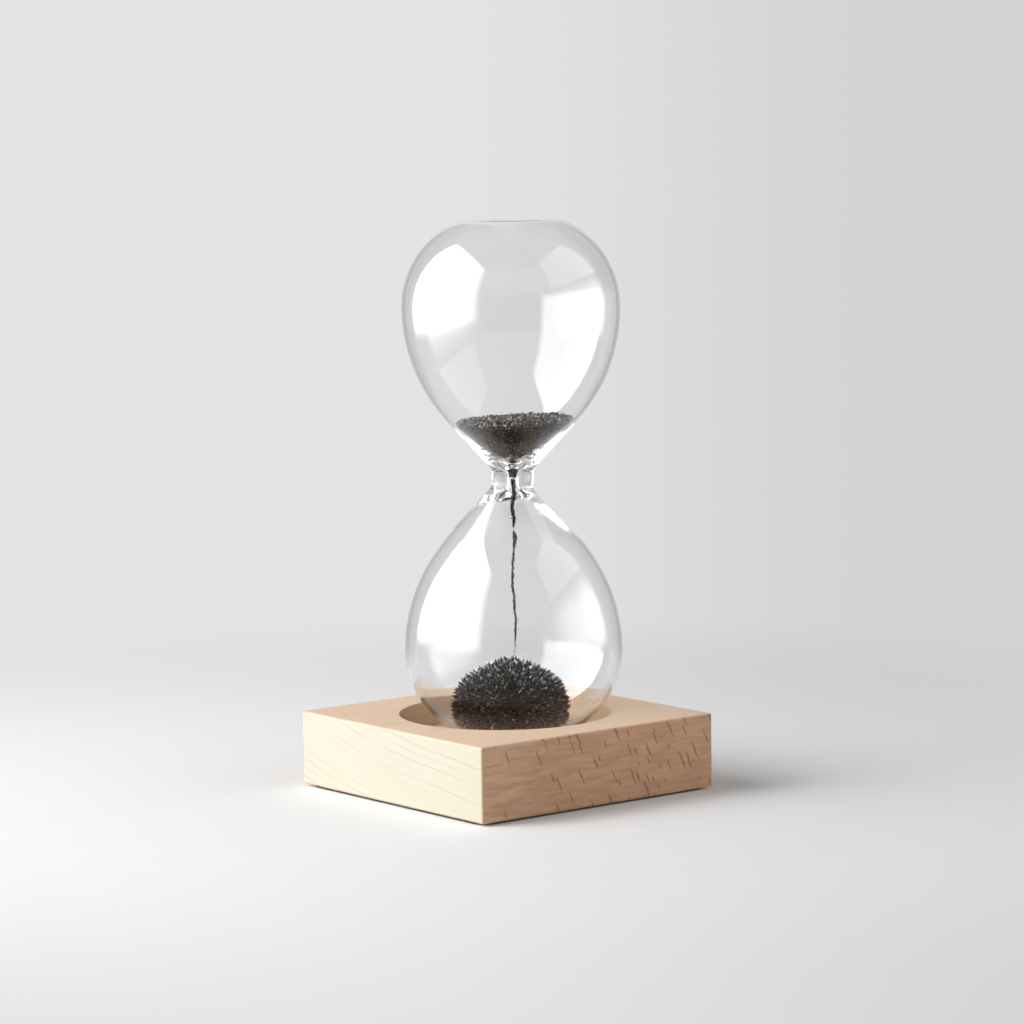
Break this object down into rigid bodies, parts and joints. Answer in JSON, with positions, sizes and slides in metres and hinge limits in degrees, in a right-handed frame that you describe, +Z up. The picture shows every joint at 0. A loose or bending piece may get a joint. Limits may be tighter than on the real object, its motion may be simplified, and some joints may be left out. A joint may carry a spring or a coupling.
{
  "type": "magnetic hourglass",
  "caption": "Blown glass hourglass with iron filings that stand up in needles over a magnet hidden in its square wooden base.",
  "frame": {"origin": "under the middle of the base, on the surface the object stands on", "axes": "+Z up along the glass; +X and +Y along the sides of the square base"},
  "size_m": [0.08, 0.08, 0.1556],
  "materials": {
    "beech": "smooth oiled beech",
    "nickel": "nickel plated",
    "rubber": "matte foam sheet",
    "clear_glass": "clear blown",
    "iron_filings": "rough granular"
  },
  "bodies": {
    "base": {"wooden_base": "beech", "base_magnet": "nickel", "base_pad": "rubber"},
    "hourglass": {"upper_bulb": "clear_glass", "lower_bulb": "clear_glass", "filings_reserve": "iron_filings", "filings_stream": "iron_filings", "filings_mound": "iron_filings"}
  },
  "joints": [
    {"name": "glass_lift", "type": "slide", "parent": "base", "child": "hourglass", "axis": [0, 0, 1], "range_m": [0, 0.05]}
  ]
}
